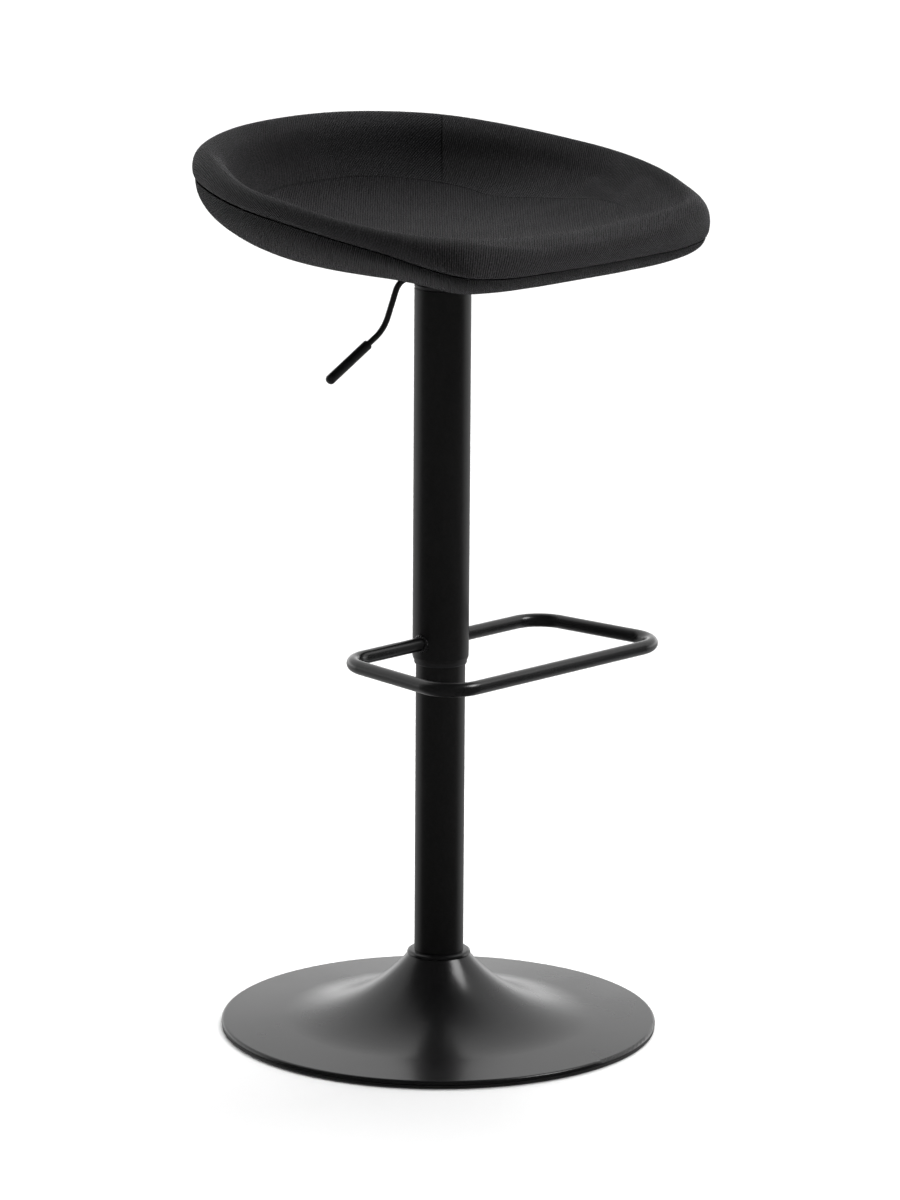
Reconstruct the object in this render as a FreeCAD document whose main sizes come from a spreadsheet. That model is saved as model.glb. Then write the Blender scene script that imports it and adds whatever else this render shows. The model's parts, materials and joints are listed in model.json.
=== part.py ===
"""Gas-lift bar stool with a bucket seat and a footrest, as a parametric FreeCAD document.

Frame: origin on the floor at the column's axis, +Z up, the seat's front towards -Y,
the release lever on the -X side. Millimetres. The seat is modelled at its highest.
"""
import FreeCAD, Part
import Sketcher
import math
import os
import re
import sys
from FreeCAD import Placement, Rotation, Vector

os.makedirs("parts", exist_ok=True)
doc = FreeCAD.newDocument("bar_stool")

# ---------------------------------------------------------------- driving dimensions
DIMENSIONS = {
    # spun base
    "base_radius": 221.6,
    "base_sheet": 2.0,
    "base_edge_roll": 3.0,
    "base_edge_bottom": 4.5,
    "flare_radius": 173.0,
    "flare_end_radius": 158.6,
    "flare_end_height": 11.0,
    "neck_radius": 31.5,
    "neck_height": 76.0,
    "neck_bore": 30.0,
    "neck_bore_height": 74.7,
    "ring_inner": 211.0,
    "ring_outer": 221.2,
    "ring_bevel": 1.1,
    "ballast_radius": 132.0,
    "ballast_thick": 6.0,
    "screw_circle": 92.0,
    # stand tube and swivel bearing
    "tube_radius": 25.0,
    "tube_bore": 22.9,
    "tube_foot_radius": 24.4,
    "tube_bottom": 20.0,
    "tube_top": 430.0,
    "rod_radius": 5.0,
    "rod_bottom": 12.0,
    "rod_top": 397.0,
    "race_outer": 12.0,
    "race_thick": 2.5,
    "ball_radius": 2.4,
    "ball_circle": 8.8,
    "ball_count": 8,
    "running_gap": 0.06,
    # gas spring
    "spring_radius": 14.0,
    "spring_bore": 12.5,
    "spring_bottom": 360.0,
    "taper_bottom": 703.0,
    "taper_top": 765.0,
    "taper_end_radius": 13.0,
    "valve_radius": 11.5,
    "valve_bottom": 722.0,
    "inner_radius": 11.6,
    "inner_bore": 10.6,
    "pin_radius": 4.0,
    "pin_bottom": 742.0,
    "pin_top": 775.85,
    # sleeve and footrest
    "sleeve_radius": 28.5,
    "sleeve_bore": 26.8,
    "sleeve_bottom": 385.0,
    "sleeve_top": 764.0,
    "footrest_height": 404.0,
    "footrest_tube": 7.0,
    "footrest_wall": 1.5,
    "footrest_side": 140.0,
    "footrest_front": 157.0,
    "footrest_reach": 166.0,
    "footrest_bend": 34.0,
    "weld_foot_radius": 10.6,
    "weld_length": 6.4,
    "weld_sunk": 4.0,
    # mechanism under the seat
    "hub_radius": 19.0,
    "hub_top": 773.0,
    "channel_length": 60.0,
    "channel_width": 44.0,
    "channel_wall": 2.5,
    "plate_size": 150.0,
    "plate_thick": 2.5,
    "plate_top": 791.0,
    "bolt_spacing": 100.0,
    "lever_slot": 10.0,
    "lever_boss_radius": 5.0,
    "lever_radius": 3.0,
    "lever_inner_end": 3.0,
    "lever_bend": 17.0,
    "lever_knee": 40.0,
    "lever_height": 779.0,
    "lever_pivot": 24.0,
    "lever_bend_x": 62.0,
    "lever_knee_x": 82.5,
    "lever_knee_z": 732.5,
    "lever_tip_x": 158.0,
    "lever_tip_z": 691.0,
    "grip_radius": 5.0,
    "grip_length": 63.0,
    # seat, at its centre
    "seat_bottom": 791.0,
    "under_cover_thick": 4.0,
    "shell_thick": 10.0,
    "cover_thick": 2.0,
    "dish_height": 827.0,
    "seat_core": 30.0,
}

# Round the seat: angle from the front, seam radius and height, crest radius and height,
# how far the roll stands out past the seam, how sharply the underside turns up at its edge.
SEAT_STATIONS = [
    (0, 210.0, 813.0, 178.0, 847.0, 5.0, 6.0),
    (10, 213.0, 813.0, 181.0, 847.5, 5.0, 6.0),
    (20, 222.0, 813.0, 191.0, 849.0, 5.0, 6.0),
    (33, 247.0, 815.0, 220.0, 853.0, 4.0, 5.5),
    (41, 261.0, 819.0, 243.0, 857.0, 4.0, 5.0),
    (48, 257.0, 826.0, 247.0, 859.0, 6.0, 4.0),
    (58, 250.0, 838.0, 244.0, 863.0, 6.0, 3.0),
    (70, 244.0, 848.0, 240.0, 870.0, 6.0, 2.5),
    (85, 238.0, 857.0, 234.5, 878.5, 6.0, 2.4),
    (100, 236.0, 863.0, 232.5, 885.0, 6.0, 2.4),
    (120, 238.0, 870.0, 228.0, 896.0, 6.0, 2.4),
    (135, 243.0, 874.0, 232.0, 903.0, 6.0, 2.4),
    (155, 238.0, 880.0, 227.0, 909.0, 5.0, 2.4),
    (180, 227.5, 884.0, 220.0, 912.0, 4.0, 2.4),
]

sheet = doc.addObject("Spreadsheet::Sheet", "Sheet")
sheet_row = 0


def set_dimension(alias, value):
    """Write one driving dimension as a plain number with an alias."""
    global sheet_row
    sheet_row += 1
    sheet.set("A%d" % sheet_row, alias)
    sheet.set("B%d" % sheet_row, str(value))
    sheet.setAlias("B%d" % sheet_row, alias)


for alias, value in DIMENSIONS.items():
    set_dimension(alias, value)
STATION_FIELDS = ("seam_radius", "seam_height", "crest_radius", "crest_height", "roll", "turn_up")
for station in SEAT_STATIONS:
    for field, value in zip(STATION_FIELDS, station[1:]):
        set_dimension("%s_at_%ddeg" % (field, station[0]), value)
doc.recompute()


def bound(expression):
    """The expression with each alias in it written as a reference to the sheet."""
    def reference(match):
        word = match.group(0)
        return "Sheet." + word if word in DIMENSIONS else word
    return re.sub(r"[a-z_]+", reference, expression)


def number(expression):
    """The number that an expression of aliases gives now."""
    return float(sheet.evalExpression(expression))


# ---------------------------------------------------------------- ways to make a piece
parts = {}


def keep(name, obj):
    """Name a finished piece: its Label is also its file's name."""
    obj.Label = name
    parts[name] = obj
    return obj


def new_body(name):
    """An empty PartDesign body."""
    return doc.addObject("PartDesign::Body", name + "_body")


def new_sketch(body, plane, name, offset=None):
    """A sketch on one of the body's own origin planes, moved out by an expression if given."""
    sketch = body.newObject("Sketcher::SketchObject", name)
    support = [item for item in body.Origin.OriginFeatures if item.Role == plane][0]
    sketch.AttachmentSupport = (support, "")
    sketch.MapMode = "FlatFace"
    if offset:
        sketch.setExpression("AttachmentOffset.Base.z", bound(offset))
    return sketch


def hold_point(sketch, index, position, across, up):
    """Fix one vertex of a sketch at two expressions, measured from the sketch's origin."""
    for kind, expression in (("DistanceX", across), ("DistanceY", up)):
        value = number(expression)
        if abs(value) < 1e-9:
            axis = -2 if kind == "DistanceX" else -1
            sketch.addConstraint(Sketcher.Constraint("PointOnObject", index, position, axis))
            continue
        ends = (-1, 1, index, position) if value > 0 else (index, position, -1, 1)
        datum = sketch.addConstraint(Sketcher.Constraint(kind, *ends, abs(value)))
        sign = "" if value > 0 else "-"
        sketch.setExpression("Constraints[%d]" % datum, bound("%s(%s)" % (sign, expression)))


def draw_outline(sketch, outline):
    """A closed outline of straight sides through points that are pairs of expressions.

    A third entry on a point makes the side that leaves it an arc: its radius as an
    expression, and +1 or -1 for the side of the chord that the arc's centre is on.
    """
    count = len(outline)
    places = [Vector(number(point[0]), number(point[1]), 0) for point in outline]
    for index, point in enumerate(outline):
        start = places[index]
        end = places[(index + 1) % count]
        if len(point) == 2:
            sketch.addGeometry(Part.LineSegment(start, end), False)
            continue
        radius = number(point[2])
        chord = end - start
        rise = math.sqrt(radius ** 2 - (chord.Length / 2) ** 2)
        normal = Vector(-chord.y, chord.x, 0).normalize() * point[3]
        centre = (start + end) * 0.5 + normal * rise
        first, last = (start, end) if point[3] > 0 else (end, start)
        angles = [math.atan2(place.y - centre.y, place.x - centre.x) for place in (first, last)]
        circle = Part.Circle(centre, Vector(0, 0, 1), radius)
        sketch.addGeometry(Part.ArcOfCircle(circle, angles[0], angles[1]), False)
    ends = []
    for index in range(count):
        geometry = sketch.Geometry[index]
        forward = geometry.StartPoint.distanceToPoint(places[index]) < 1e-6
        ends.append((1, 2) if forward else (2, 1))
    for index, point in enumerate(outline):
        following = (index + 1) % count
        join = Sketcher.Constraint("Coincident", index, ends[index][1], following, ends[following][0])
        sketch.addConstraint(join)
        hold_point(sketch, index, ends[index][0], point[0], point[1])
        if len(point) > 2:
            datum = sketch.addConstraint(Sketcher.Constraint("Radius", index, number(point[2])))
            sketch.setExpression("Constraints[%d]" % datum, bound(point[2]))


def draw_circle(sketch, across, up, radius):
    """A circle whose centre and radius are expressions."""
    centre = Vector(number(across), number(up), 0)
    index = sketch.addGeometry(Part.Circle(centre, Vector(0, 0, 1), number(radius)), False)
    hold_point(sketch, index, 3, across, up)
    datum = sketch.addConstraint(Sketcher.Constraint("Radius", index, number(radius)))
    sketch.setExpression("Constraints[%d]" % datum, bound(radius))


def turned(name, outline):
    """A piece turned about the column's axis: its outline is (radius, height) points."""
    body = new_body(name)
    sketch = new_sketch(body, "XZ_Plane", name + "_profile")
    draw_outline(sketch, outline)
    turn = body.newObject("PartDesign::Revolution", name + "_turn")
    turn.Profile = (sketch, [""])
    turn.ReferenceAxis = (sketch, ["V_Axis"])
    turn.Angle = 360
    sketch.Visibility = False
    return keep(name, body)


def ring_outline(inner, outer, low, high):
    """The outline of a plain ring."""
    return [(inner, low), (outer, low), (outer, high), (inner, high)]


def padded_sketch(body, sketch, name, length, midplane=False):
    """Pad a sketch by an expression."""
    pad = body.newObject("PartDesign::Pad", name)
    pad.Profile = (sketch, [""])
    pad.SideType = "Symmetric" if midplane else "One side"
    pad.setExpression("Length", bound(length))
    return pad


def cut_sketch(body, sketch, name):
    """Cut a sketch right through the body both ways, and check that it took something away."""
    doc.recompute()
    before = body.Shape.Volume
    pocket = body.newObject("PartDesign::Pocket", name)
    pocket.Profile = (sketch, [""])
    pocket.SideType = "Symmetric"
    pocket.Length = 2000
    doc.recompute()
    if body.Shape.Volume > before - 1.0:
        sys.exit("%s cuts nothing" % name)
    return pocket


def cylinder(name, radius, length, base, rotation=None):
    """A Part cylinder from expressions: its base is (x, y, z), its own axis is +Z unless turned."""
    obj = doc.addObject("Part::Cylinder", name)
    obj.setExpression("Radius", bound(radius))
    obj.setExpression("Height", bound(length))
    if rotation:
        obj.Placement = Placement(Vector(0, 0, 0), rotation)
    for axis, expression in zip("xyz", base):
        obj.setExpression("Placement.Base." + axis, bound(expression))
    return obj


def combined(kind, name, members):
    """A Part::MultiFuse or Part::Compound of several objects."""
    obj = doc.addObject(kind, name)
    if kind == "Part::Compound":
        obj.Links = members
    else:
        obj.Shapes = members
    return obj


def cut(name, base, tool):
    """A Part::Cut of one object by another."""
    obj = doc.addObject("Part::Cut", name)
    obj.Base = base
    obj.Tool = tool
    return obj


def around(count, circle, start_angle=0.0):
    """Expressions for the x and y of points spread evenly on a circle."""
    places = []
    for index in range(count):
        angle = math.radians(start_angle + 360.0 * index / count)
        places.append(("%s * %.9f" % (circle, math.cos(angle)), "%s * %.9f" % (circle, math.sin(angle))))
    return places


# ---------------------------------------------------------------- spun base
turned("base_shell", [
    ("neck_radius", "neck_height", "flare_radius", 1),
    ("flare_end_radius", "flare_end_height"),
    ("base_radius - base_edge_roll", "base_edge_bottom + 0.7 + base_edge_roll", "base_edge_roll", -1),
    ("base_radius", "base_edge_bottom + 0.7"),
    ("base_radius", "base_edge_bottom"),
    ("base_radius - base_sheet", "base_edge_bottom"),
    ("base_radius - base_sheet", "base_edge_bottom + 0.7", "base_edge_roll - base_sheet", 1),
    ("base_radius - base_edge_roll", "base_edge_bottom + 0.7 + base_edge_roll - base_sheet"),
    ("flare_end_radius", "flare_end_height - base_sheet", "flare_radius + base_sheet", -1),
    ("neck_bore", "neck_bore_height"),
])
turned("floor_ring", [
    ("ring_inner", "0"),
    ("ring_outer - ring_bevel", "0"),
    ("ring_outer", "ring_bevel"),
    ("ring_outer", "base_edge_bottom - ring_bevel"),
    ("ring_outer - ring_bevel", "base_edge_bottom"),
    ("base_radius - base_sheet - 0.3", "base_edge_bottom"),
    ("base_radius - base_sheet - 0.3", "base_edge_bottom + 0.6"),
    ("ring_inner + 4", "base_edge_bottom + 0.6"),
    ("ring_inner + 4", "base_edge_bottom"),
    ("ring_inner", "base_edge_bottom"),
])
turned("base_collar", [
    ("tube_radius", "neck_height"),
    ("neck_radius + 0.3", "neck_height"),
    ("neck_radius + 0.8", "neck_height + 1.2"),
    ("neck_radius + 0.3", "neck_height + 3.0"),
    ("neck_radius - 1.4", "neck_height + 4.2"),
    ("tube_radius", "neck_height + 4.6"),
])
turned("base_hub", [
    ("tube_foot_radius", "tube_bottom"),
    ("tube_foot_radius", "base_edge_bottom"),
    ("neck_bore", "base_edge_bottom"),
    ("neck_bore", "neck_height"),
    ("tube_radius", "neck_height"),
])


def base_screw_places():
    """Where the screws of the base stand, between the ballast disc's bore and its rim."""
    return around(4, "screw_circle", 45.0)


def drilled_disc(name, inner, outer, low, high, hole):
    """A flat ring with a hole for each base screw."""
    body = new_body(name)
    sketch = new_sketch(body, "XY_Plane", name + "_outline", low)
    draw_circle(sketch, "0", "0", outer)
    draw_circle(sketch, "0", "0", inner)
    for across, up in base_screw_places():
        draw_circle(sketch, across, up, hole)
    padded_sketch(body, sketch, name + "_pad", "%s - (%s)" % (high, low))
    return keep(name, body)


drilled_disc("bottom_plate", "neck_bore", "ring_inner", "base_edge_bottom - 1.5", "base_edge_bottom", "2.7")
drilled_disc("ballast_disc", "neck_bore + 3", "ballast_radius", "base_edge_bottom",
             "base_edge_bottom + ballast_thick", "2.5")

base_screws = []
for index, (across, up) in enumerate(base_screw_places()):
    shank = cylinder("base_screw_shank_%d" % index, "2.5", "ballast_thick + 1.5",
                     (across, up, "base_edge_bottom - 1.5"))
    head = cylinder("base_screw_head_%d" % index, "4.5", "2.0", (across, up, "base_edge_bottom - 3.5"))
    base_screws.append(combined("Part::MultiFuse", "base_screw_%d" % index, [shank, head]))
keep("base_screws", combined("Part::Compound", "base_screw_group", base_screws))

# ---------------------------------------------------------------- stand tube and swivel bearing
turned("stand_tube", [
    ("tube_foot_radius", "tube_bottom"),
    ("tube_radius", "neck_height"),
    ("tube_radius", "tube_top"),
    ("tube_bore", "tube_top"),
    ("tube_bore", "tube_bottom"),
])
turned("tube_foot_plate", ring_outline("rod_radius + running_gap", "tube_bore", "tube_bottom", "tube_bottom + 4"))
turned("guide_bush", [
    ("spring_radius + running_gap", "tube_top - 50"),
    ("tube_bore", "tube_top - 50"),
    ("tube_bore", "tube_top"),
    ("tube_radius", "tube_top"),
    ("tube_radius", "tube_top + 3"),
    ("spring_radius + running_gap", "tube_top + 3"),
])
turned("bearing_lower_race", ring_outline(
    "rod_radius + 0.3", "race_outer", "tube_bottom + 4", "tube_bottom + 4 + race_thick"))
BALL_HEIGHT = "tube_bottom + 4 + race_thick + ball_radius + 0.05"
UPPER_RACE_LOW = "tube_bottom + 4 + race_thick + 2 * ball_radius + 0.1"
turned("bearing_upper_race", ring_outline(
    "rod_radius", "race_outer", UPPER_RACE_LOW, UPPER_RACE_LOW + " + race_thick"))

balls = []
for index, (across, up) in enumerate(around(int(DIMENSIONS["ball_count"]), "ball_circle")):
    ball = doc.addObject("Part::Sphere", "bearing_ball_%d" % index)
    ball.setExpression("Radius", bound("ball_radius"))
    for axis, expression in zip("xyz", (across, up, BALL_HEIGHT)):
        ball.setExpression("Placement.Base." + axis, bound(expression))
    balls.append(ball)
keep("bearing_balls", combined("Part::Compound", "ball_group", balls))

cage = new_body("bearing_cage")
cage_sketch = new_sketch(cage, "XY_Plane", "cage_outline", BALL_HEIGHT + " - 0.8")
draw_circle(cage_sketch, "0", "0", "race_outer - 0.1")
draw_circle(cage_sketch, "0", "0", "rod_radius + 0.7")
padded_sketch(cage, cage_sketch, "cage_pad", "1.6")
hole_sketch = new_sketch(cage, "XY_Plane", "cage_hole")
draw_circle(hole_sketch, "ball_circle", "0", "ball_radius + 0.05")
hole = cut_sketch(cage, hole_sketch, "cage_hole_cut")
pattern = cage.newObject("PartDesign::PolarPattern", "cage_holes")
pattern.Originals = [hole]
pattern.Axis = (hole_sketch, ["N_Axis"])
pattern.Angle = 360
pattern.setExpression("Occurrences", bound("ball_count"))
cage.Tip = pattern
keep("bearing_cage", cage)

# ---------------------------------------------------------------- piston rod, which turns but does not rise
CLIP_LOW = "tube_bottom - 2.5"
turned("piston_rod", [
    ("0", "rod_bottom"),
    ("rod_radius - 0.8", "rod_bottom"),
    ("rod_radius", "rod_bottom + 1"),
    ("rod_radius", CLIP_LOW),
    ("rod_radius - 1", CLIP_LOW),
    ("rod_radius - 1", CLIP_LOW + " + 2"),
    ("rod_radius", CLIP_LOW + " + 2"),
    ("rod_radius", "rod_top"),
    ("0", "rod_top"),
])
turned("rod_clip", ring_outline("rod_radius - 1", "rod_radius + 4", CLIP_LOW, CLIP_LOW + " + 2"))
turned("bump_stop", [
    ("rod_radius", UPPER_RACE_LOW + " + race_thick"),
    ("race_outer", UPPER_RACE_LOW + " + race_thick"),
    ("race_outer - 2", UPPER_RACE_LOW + " + race_thick + 9"),
    ("race_outer - 1", UPPER_RACE_LOW + " + race_thick + 18"),
    ("rod_radius", UPPER_RACE_LOW + " + race_thick + 18"),
])
turned("piston", ring_outline("rod_radius", "inner_bore - running_gap", "rod_top - 12", "rod_top"))

# ---------------------------------------------------------------- gas spring, which rises with the seat
turned("pressure_tube", [
    ("spring_bore", "spring_bottom"),
    ("spring_radius", "spring_bottom"),
    ("spring_radius", "taper_bottom"),
    ("taper_end_radius", "taper_top"),
    ("valve_radius", "taper_top"),
    ("valve_radius", "valve_bottom"),
    ("spring_bore", "valve_bottom"),
])
turned("rod_guide", ring_outline(
    "rod_radius + running_gap", "spring_bore", "spring_bottom", "spring_bottom + 15"))
turned("rod_seal", ring_outline(
    "rod_radius + running_gap", "spring_bore", "spring_bottom + 15", "spring_bottom + 21"))
turned("inner_cylinder", ring_outline("inner_bore", "inner_radius", "spring_bottom + 21", "valve_bottom"))
turned("valve_body", [
    ("0", "valve_bottom"),
    ("valve_radius", "valve_bottom"),
    ("valve_radius", "taper_top"),
    ("pin_radius + running_gap", "taper_top"),
    ("pin_radius + running_gap", "pin_bottom - 6"),
    ("0", "pin_bottom - 6"),
])
turned("release_pin", [
    ("0", "pin_bottom"),
    ("pin_radius", "pin_bottom"),
    ("pin_radius", "pin_top - pin_radius", "pin_radius", 1),
    ("0", "pin_top"),
])

# ---------------------------------------------------------------- sleeve that covers the gas spring
turned("sleeve", [
    ("sleeve_bore", "sleeve_bottom"),
    ("sleeve_radius - 1.0", "sleeve_bottom"),
    ("sleeve_radius", "sleeve_bottom + 3"),
    ("sleeve_radius", "sleeve_top"),
    ("sleeve_bore", "sleeve_top"),
])
turned("sleeve_bush", [
    ("tube_radius + running_gap", "sleeve_bottom - 4.5"),
    ("sleeve_bore - 0.6", "sleeve_bottom - 4.5"),
    ("sleeve_bore", "sleeve_bottom - 3.5"),
    ("sleeve_bore", "sleeve_bottom + 25"),
    ("tube_radius + running_gap", "sleeve_bottom + 25"),
])
turned("sleeve_cap", [
    ("hub_radius", "sleeve_top - 10"),
    ("sleeve_bore", "sleeve_top - 10"),
    ("sleeve_bore", "sleeve_top + 1.2"),
    ("sleeve_radius - 0.6", "sleeve_top + 1.2"),
    ("sleeve_radius", "sleeve_top + 2"),
    ("sleeve_radius", "sleeve_top + 4"),
    ("sleeve_radius - 1.5", "sleeve_top + 5"),
    ("hub_radius", "sleeve_top + 5"),
])

# ---------------------------------------------------------------- footrest, one bent tube
FOOTREST_POINTS = (
    ("0", "0"),
    ("footrest_side", "0"),
    ("footrest_front", "-footrest_reach"),
    ("-footrest_front", "-footrest_reach"),
    ("-footrest_side", "0"),
    ("0", "0"),
)


def rounded_wire(points, radii):
    """A wire of straight runs joined by tangent arcs, with a radius for each corner."""
    edges = []
    start = points[0]
    for index in range(1, len(points) - 1):
        corner = points[index]
        radius = radii[index - 1]
        arriving = (corner - points[index - 1]).normalize()
        leaving = (points[index + 1] - corner).normalize()
        half_turn = arriving.getAngle(leaving) / 2
        setback = radius * math.tan(half_turn)
        first = corner - arriving * setback
        last = corner + leaving * setback
        inward = (leaving - arriving).normalize()
        middle = corner + inward * (radius / math.cos(half_turn) - radius)
        edges.append(Part.LineSegment(start, first).toShape())
        edges.append(Part.Arc(first, middle, last).toShape())
        start = last
    edges.append(Part.LineSegment(start, points[-1]).toShape())
    return Part.Wire(edges)


def swept(name, wire, outer, inner=0.0):
    """A round bar or tube swept along a wire, as a Part::Feature."""
    start = wire.OrderedVertexes[0].Point
    direction = wire.OrderedEdges[0].tangentAt(wire.OrderedEdges[0].FirstParameter)
    shape = None
    for radius in (outer, inner):
        if radius <= 0:
            continue
        ring = Part.Wire(Part.makeCircle(radius, start, direction))
        solid = wire.makePipeShell([ring], True, True, 0)
        shape = solid if shape is None else shape.cut(solid)
    obj = doc.addObject("Part::Feature", name)
    obj.Shape = shape
    obj.Placement = Placement(Vector(0, 0, 0), Rotation())
    return obj


footrest_path = []
for across, up in FOOTREST_POINTS:
    footrest_path.append(Vector(number(across), number(up), number("footrest_height")))
footrest_path[0] = Vector(number("sleeve_bore"), 0, number("footrest_height"))
footrest_path[-1] = Vector(-number("sleeve_bore"), 0, number("footrest_height"))
footrest_wire = rounded_wire(footrest_path, [number("footrest_bend")] * (len(footrest_path) - 2))
footrest_tube = swept("footrest_tube_shape", footrest_wire, number("footrest_tube"),
                      number("footrest_tube - footrest_wall"))
sleeve_outside = cylinder("sleeve_outside", "sleeve_radius", "40", ("0", "0", "footrest_height - 20"))
keep("footrest", cut("footrest_cut", footrest_tube, sleeve_outside))

weld_cones = []
for side in (1, -1):
    cone = doc.addObject("Part::Cone", "weld_cone_%s" % ("left" if side > 0 else "right"))
    cone.setExpression("Radius1", bound("weld_foot_radius"))
    cone.setExpression("Radius2", bound("footrest_tube + 0.3"))
    cone.setExpression("Height", bound("weld_length"))
    cone.Placement = Placement(Vector(0, 0, 0), Rotation(Vector(0, 1, 0), side * 90))
    cone.setExpression("Placement.Base.x", bound("%d * (sleeve_radius - weld_sunk)" % side))
    cone.setExpression("Placement.Base.z", bound("footrest_height"))
    weld_cones.append(cone)
weld_rings = combined("Part::MultiFuse", "weld_rings", weld_cones)
across_bar = cylinder("across_bar", "footrest_tube", "6 * sleeve_radius",
                      ("-3 * sleeve_radius", "0", "footrest_height"), Rotation(Vector(0, 1, 0), 90))
weld_bored = cut("weld_bored", weld_rings, across_bar)
keep("footrest_welds", cut("footrest_weld_cut", weld_bored, sleeve_outside))

# ---------------------------------------------------------------- mechanism under the seat
turned("taper_hub", [
    ("spring_radius", "taper_bottom"),
    ("hub_radius", "taper_bottom"),
    ("hub_radius", "hub_top"),
    ("taper_end_radius", "hub_top"),
    ("taper_end_radius", "taper_top"),
])

channel = new_body("mechanism_channel")
channel_sketch = new_sketch(channel, "YZ_Plane", "channel_section")
draw_outline(channel_sketch, [
    ("-channel_width / 2", "hub_top"),
    ("channel_width / 2", "hub_top"),
    ("channel_width / 2", "plate_top - plate_thick"),
    ("channel_width / 2 - channel_wall", "plate_top - plate_thick"),
    ("channel_width / 2 - channel_wall", "hub_top + channel_wall"),
    ("channel_wall - channel_width / 2", "hub_top + channel_wall"),
    ("channel_wall - channel_width / 2", "plate_top - plate_thick"),
    ("-channel_width / 2", "plate_top - plate_thick"),
])
padded_sketch(channel, channel_sketch, "channel_pad", "channel_length", True)
slot_sketch = new_sketch(channel, "XY_Plane", "lever_slot")
draw_outline(slot_sketch, [
    ("-channel_length / 2 + 2", "-lever_slot / 2"),
    ("6", "-lever_slot / 2"),
    ("6", "lever_slot / 2"),
    ("-channel_length / 2 + 2", "lever_slot / 2"),
])
cut_sketch(channel, slot_sketch, "lever_slot_cut")
hole_sketch = new_sketch(channel, "XY_Plane", "hub_hole")
draw_circle(hole_sketch, "0", "0", "taper_end_radius")
cut_sketch(channel, hole_sketch, "hub_hole_cut")
pivot_sketch = new_sketch(channel, "XZ_Plane", "pivot_holes")
draw_circle(pivot_sketch, "-lever_pivot", "lever_height", "2.5")
cut_sketch(channel, pivot_sketch, "pivot_hole_cut")
keep("mechanism_channel", channel)

pivot_shaft = cylinder("pivot_shaft", "2.5", "channel_width + 5",
                       ("-lever_pivot", "(channel_width + 5) / 2", "lever_height"),
                       Rotation(Vector(1, 0, 0), 90))
pivot_head = cylinder("pivot_head", "4", "1.5",
                      ("-lever_pivot", "(channel_width + 3) / 2 + 1.5", "lever_height"),
                      Rotation(Vector(1, 0, 0), 90))
keep("lever_pivot_pin", combined("Part::MultiFuse", "pivot_pin", [pivot_shaft, pivot_head]))

plate = new_body("seat_plate")
plate_sketch = new_sketch(plate, "XY_Plane", "plate_outline", "plate_top - plate_thick")
draw_outline(plate_sketch, [
    ("-plate_size / 2", "-plate_size / 2"),
    ("plate_size / 2", "-plate_size / 2"),
    ("plate_size / 2", "plate_size / 2"),
    ("-plate_size / 2", "plate_size / 2"),
])
bolt_places = []
for across_sign in ("-", ""):
    for up_sign in ("-", ""):
        bolt_places.append((across_sign + "bolt_spacing / 2", up_sign + "bolt_spacing / 2"))
for across, up in bolt_places:
    draw_circle(plate_sketch, across, up, "3.2")
plate_pad = padded_sketch(plate, plate_sketch, "plate_pad", "plate_thick")
doc.recompute()
corner_edges = []
for index, edge in enumerate(plate_pad.Shape.Edges, 1):
    direction = edge.tangentAt(edge.FirstParameter)
    if abs(direction.z) > 0.99 and abs(edge.CenterOfMass.x) > 70:
        corner_edges.append("Edge%d" % index)
plate_corners = plate.newObject("PartDesign::Fillet", "plate_corners")
plate_corners.Base = (plate_pad, corner_edges)
plate_corners.Radius = 14
keep("seat_plate", plate)

PLATE_LOW = "plate_top - plate_thick"
seat_bolts = []
seat_washers = []
tee_nuts = []
NUT_TOP = "seat_bottom + under_cover_thick + shell_thick"
for index, (across, up) in enumerate(bolt_places):
    shank = cylinder("bolt_shank_%d" % index, "3", "%s - 1.6 - (%s) + 1.6" % (NUT_TOP, PLATE_LOW),
                     (across, up, PLATE_LOW + " - 1.6"))
    head = cylinder("bolt_head_%d" % index, "5.5", "4", (across, up, PLATE_LOW + " - 5.6"))
    seat_bolts.append(combined("Part::MultiFuse", "seat_bolt_%d" % index, [shank, head]))
    disc = cylinder("washer_disc_%d" % index, "8", "1.6", (across, up, PLATE_LOW + " - 1.6"))
    bore = cylinder("washer_bore_%d" % index, "3.2", "4", (across, up, PLATE_LOW + " - 3"))
    seat_washers.append(cut("seat_washer_%d" % index, disc, bore))
    barrel = cylinder("nut_barrel_%d" % index, "4.2", "shell_thick - 1.4",
                      (across, up, "seat_bottom + under_cover_thick + 1.4"))
    flange = cylinder("nut_flange_%d" % index, "9", "1.2", (across, up, NUT_TOP + " - 1.2"))
    blank = combined("Part::MultiFuse", "nut_blank_%d" % index, [barrel, flange])
    thread = cylinder("nut_thread_%d" % index, "3", "40", (across, up, PLATE_LOW))
    tee_nuts.append(cut("tee_nut_%d" % index, blank, thread))
keep("seat_bolts", combined("Part::Compound", "seat_bolt_group", seat_bolts))
keep("seat_washers", combined("Part::Compound", "seat_washer_group", seat_washers))
keep("tee_nuts", combined("Part::Compound", "tee_nut_group", tee_nuts))

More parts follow.
